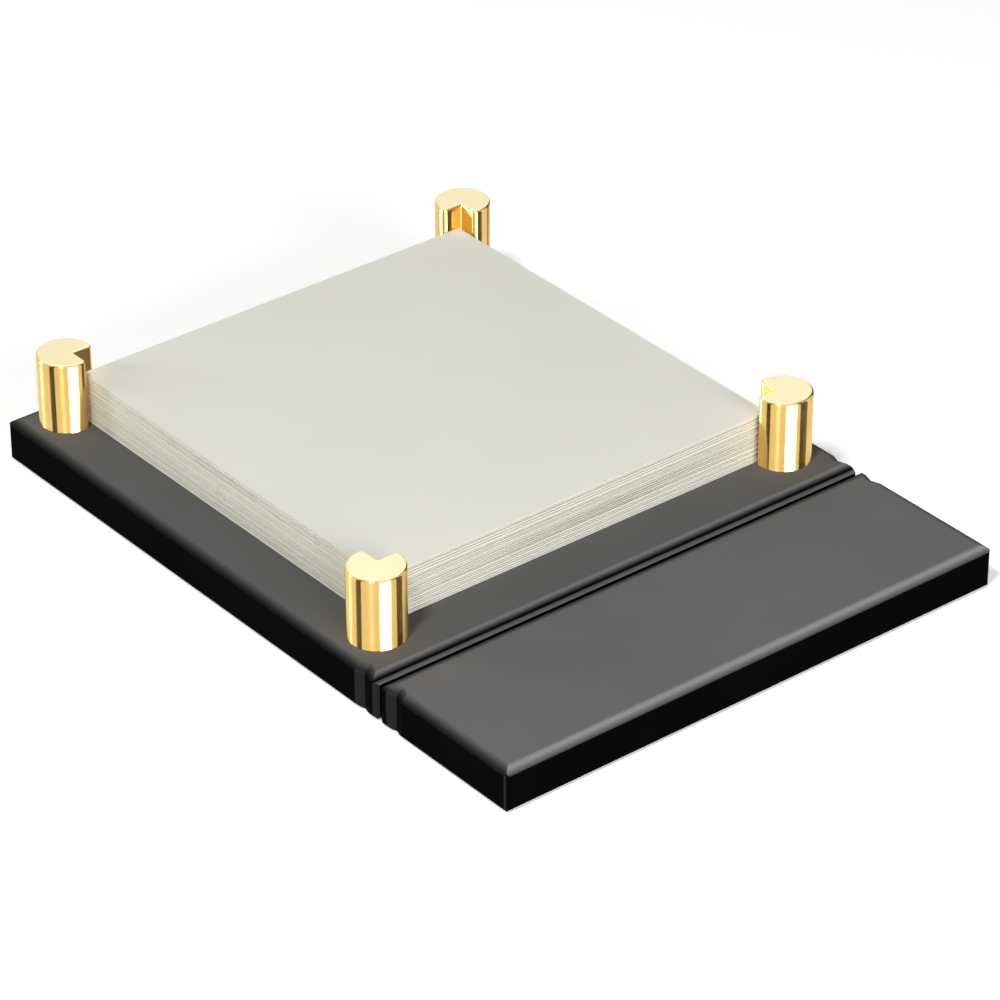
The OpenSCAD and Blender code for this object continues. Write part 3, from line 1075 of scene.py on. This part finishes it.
@dataclass
class Drawer:
    """The drawer: its moulded front, cover, tray, screws and the felt in the tray."""

    shell: tuple[str, ...] = ("drawer_front",)
    moulded: tuple[str, ...] = ("drawer_front_cover", "drawer_tray")
    screws: tuple[str, ...] = ("drawer_front_cover_screws", "tray_screws")
    felt_width: float = 101.8 * MM
    felt_length: float = 117.1 * MM
    felt_corner: float = 2.9 * MM
    felt_middle_y: float = 16.85 * MM
    felt_low: float = 2.7 * MM
    felt_thickness: float = 0.4 * MM
    felt_foot_round: float = 0.04 * MM
    felt_rim_round: float = 0.14 * MM
    felt_arc_points: int = 5
    felt_points: int = 160
    felt_pull: float = 3.0 * MM
    smooth_below: float = 50.0

    def lay_felt(self) -> None:
        """Lays the felt, which stands for the liner's node."""
        dense = rounded_rectangle(self.felt_width, self.felt_length, self.felt_corner)
        outline = Outline.through(dense, self.felt_points, self.felt_pull)
        high = self.felt_low + self.felt_thickness
        rounds = (self.felt_foot_round, self.felt_rim_round, self.felt_arc_points)
        points, faces = outline.loft(rim_steps(self.felt_low, high, *rounds))
        placed = points + (0.0, self.felt_middle_y, 0.0)
        felt = new_object("tray_felt", placed, faces, self.smooth_below)
        felt.data.materials.append(FELT.material())
        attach(felt, Body.DRAWER.value)
        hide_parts("tray_liner")

    def build(self, dresser: Dresser) -> None:
        """Dresses the drawer's nodes and lays the felt."""
        dresser.dress(SHELL_FRONT, *self.shell)
        dresser.dress(MOULDED, *self.moulded)
        dresser.dress(STEEL, *self.screws)
        self.lay_felt()


@dataclass(frozen=True)
class SoftBox:
    """A rectangular lamp that points at the object."""

    title: str
    towards: Triple
    distance: float
    size: tuple[float, float]
    radiance: float

    def hang(self, target: Vector) -> None:
        """Hangs the lamp at its distance from the target and points it there.

        Its power is pi times its area times its radiance.

        Args:
            target: the point that it lights.
        """
        lamp = bpy.data.lights.new(self.title, "AREA")
        lamp.shape = "RECTANGLE"
        lamp.size, lamp.size_y = self.size
        lamp.energy = math.pi * self.size[0] * self.size[1] * self.radiance
        hung = bpy.data.objects.new(self.title, lamp)
        direction = Vector(self.towards).normalized()
        hung.location = target + direction * self.distance
        hung.rotation_euler = direction.to_track_quat("Z", "Y").to_euler()
        hung.visible_camera = False
        bpy.context.scene.collection.objects.link(hung)


@dataclass
class Studio:
    """Camera, pale floor, soft lamps, dark flags and surroundings."""

    azimuth: float = -38.9391
    elevation: float = 31.7798
    roll: float = -0.0796
    target: Triple = (6.485 * MM, 4.526 * MM, 0.3 * MM)
    distance: float = 976.66 * MM
    lens: float = 171.436
    sensor: float = 36.0
    nearest: float = 0.01
    farthest: float = 50.0
    floor_size: float = 6.0
    floor_tone: float = 0.85
    floor_glow: float = 0.36
    sky_strength: float = 0.08
    lamps: tuple[SoftBox, ...] = (
        SoftBox("rear_box", towards=(0.534, 0.661, 1.0), distance=1.3, size=(1.0, 0.5), radiance=1.0),
        SoftBox("key_box", towards=(-0.48, -0.25, 0.84), distance=1.3, size=(0.18, 0.18), radiance=94.0),
        SoftBox("front_box", towards=(-0.15, -0.95, 0.3), distance=1.2, size=(0.8, 0.5), radiance=9.4),
        SoftBox("side_box", towards=(-0.66, 0.75, 0.35), distance=1.2, size=(0.2, 0.5), radiance=12.0),
    )
    lamp_target: Triple = (0.0, 0.0, 0.01)
    flags: tuple[tuple[float, float], ...] = ((-58.0, 0.14), (80.0, 0.22), (142.0, 0.3))
    flag_distance: float = 0.45
    flag_height: float = 0.9
    smooth_below: float = 30.0

    def set_camera(self) -> None:
        """Stands the camera at the fitted angle and distance.

        The back direction is sine of azimuth times cosine of elevation, minus cosine times
        cosine, and sine of elevation. The right and up directions are turned by the roll.
        """
        az, el, roll = (math.radians(a) for a in (self.azimuth, self.elevation, self.roll))
        back = Vector((math.sin(az) * math.cos(el), -math.cos(az) * math.cos(el), math.sin(el)))
        level = Vector((math.cos(az), math.sin(az), 0.0))
        rise = back.cross(level)
        right = level * math.cos(roll) + rise * math.sin(roll)
        up = rise * math.cos(roll) - level * math.sin(roll)
        data = bpy.data.cameras.new("camera")
        data.sensor_fit = "HORIZONTAL"
        data.sensor_width = self.sensor
        data.lens = self.lens
        data.clip_start = self.nearest
        data.clip_end = self.farthest
        camera = bpy.data.objects.new("camera", data)
        turn = Matrix((right, up, back)).transposed().to_4x4()
        camera.matrix_world = Matrix.Translation(Vector(self.target) + back * self.distance) @ turn
        bpy.context.scene.collection.objects.link(camera)
        bpy.context.scene.camera = camera

    def seen_directly(self, recipe: Recipe) -> Socket:
        """A mask that is 1 for what the camera sees, also as a reflection and through glass."""
        path = recipe.put("ShaderNodeLightPath").outputs
        pair = recipe.work_out("MAXIMUM", path["Is Camera Ray"], path["Is Glossy Ray"])
        return recipe.work_out("MAXIMUM", pair, path["Is Transmission Ray"])

    def lay_floor(self) -> None:
        """Lays the pale floor, which shows near white where nothing shades it."""
        half = 0.5 * self.floor_size
        corners = np.array([(-half, -half, 0.0), (half, -half, 0.0), (half, half, 0.0), (-half, half, 0.0)])
        floor = new_object("floor", corners, [(0, 1, 2, 3)], self.smooth_below)
        material = bpy.data.materials.new("pale_floor")
        recipe = Recipe.fresh(material)
        matt = recipe.put("ShaderNodeBsdfDiffuse", {"Color": (*grey(self.floor_tone), 1.0)})
        strength = recipe.work_out("MULTIPLY", self.seen_directly(recipe), self.floor_glow)
        glow = recipe.put("ShaderNodeEmission", {"Strength": strength})
        both = recipe.put("ShaderNodeAddShader", {0: matt.outputs[0], 1: glow.outputs[0]})
        recipe.put("ShaderNodeOutputMaterial", {"Surface": both.outputs[0]})
        floor.data.materials.append(material)

    def stand_flags(self) -> None:
        """Stands dark boards beside the camera, which only reflections show, as upright stripes.

        Each board's direction is the camera's, turned about the vertical by the board's angle to
        the right. Its corners lie half its width to either side of that direction.
        """
        for number, (angle, width) in enumerate(self.flags):
            turn = math.radians(self.azimuth + angle)
            away = np.array((math.sin(turn), -math.cos(turn))) * self.flag_distance
            along = np.array((math.cos(turn), math.sin(turn))) * 0.5 * width
            foot = np.array([away - along, away + along, away + along, away - along])
            corners = np.column_stack([foot, (0.0, 0.0, self.flag_height, self.flag_height)])
            flag = new_object(f"dark_flag_{number}", corners, [(0, 1, 2, 3)], self.smooth_below)
            flag.data.materials.append(MOULDED.material())
            flag.visible_camera = False
            flag.visible_diffuse = False
            flag.visible_shadow = False

    def light_sky(self) -> None:
        """Weak even light from all round, white where it is seen directly or in a reflection."""
        world = bpy.data.worlds.new("studio_sky")
        recipe = Recipe.fresh(world)
        strength = recipe.spread(self.seen_directly(recipe), self.sky_strength, 1.0)
        sky = recipe.put("ShaderNodeBackground", {"Color": (1.0, 1.0, 1.0, 1.0), "Strength": strength})
        recipe.put("ShaderNodeOutputWorld", {"Surface": sky.outputs[0]})
        bpy.context.scene.world = world

    def build(self) -> None:
        """Builds the camera, the floor, the dark boards, the sky and the lamps."""
        self.set_camera()
        self.lay_floor()
        self.stand_flags()
        self.light_sky()
        for lamp in self.lamps:
            lamp.hang(Vector(self.lamp_target))
        bpy.context.scene.view_settings.view_transform = "Standard"


def main() -> None:
    """Loads the frame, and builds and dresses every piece."""
    logging.basicConfig(level=logging.INFO, format="%(name)s: %(message)s")
    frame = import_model()
    dresser = Dresser(frame["nodes"])
    Housing().build(dresser)
    CornerPosts().build()
    SheetStack().build()
    Drawer().build(dresser)
    Studio().build()


if __name__ == "__main__":
    main()
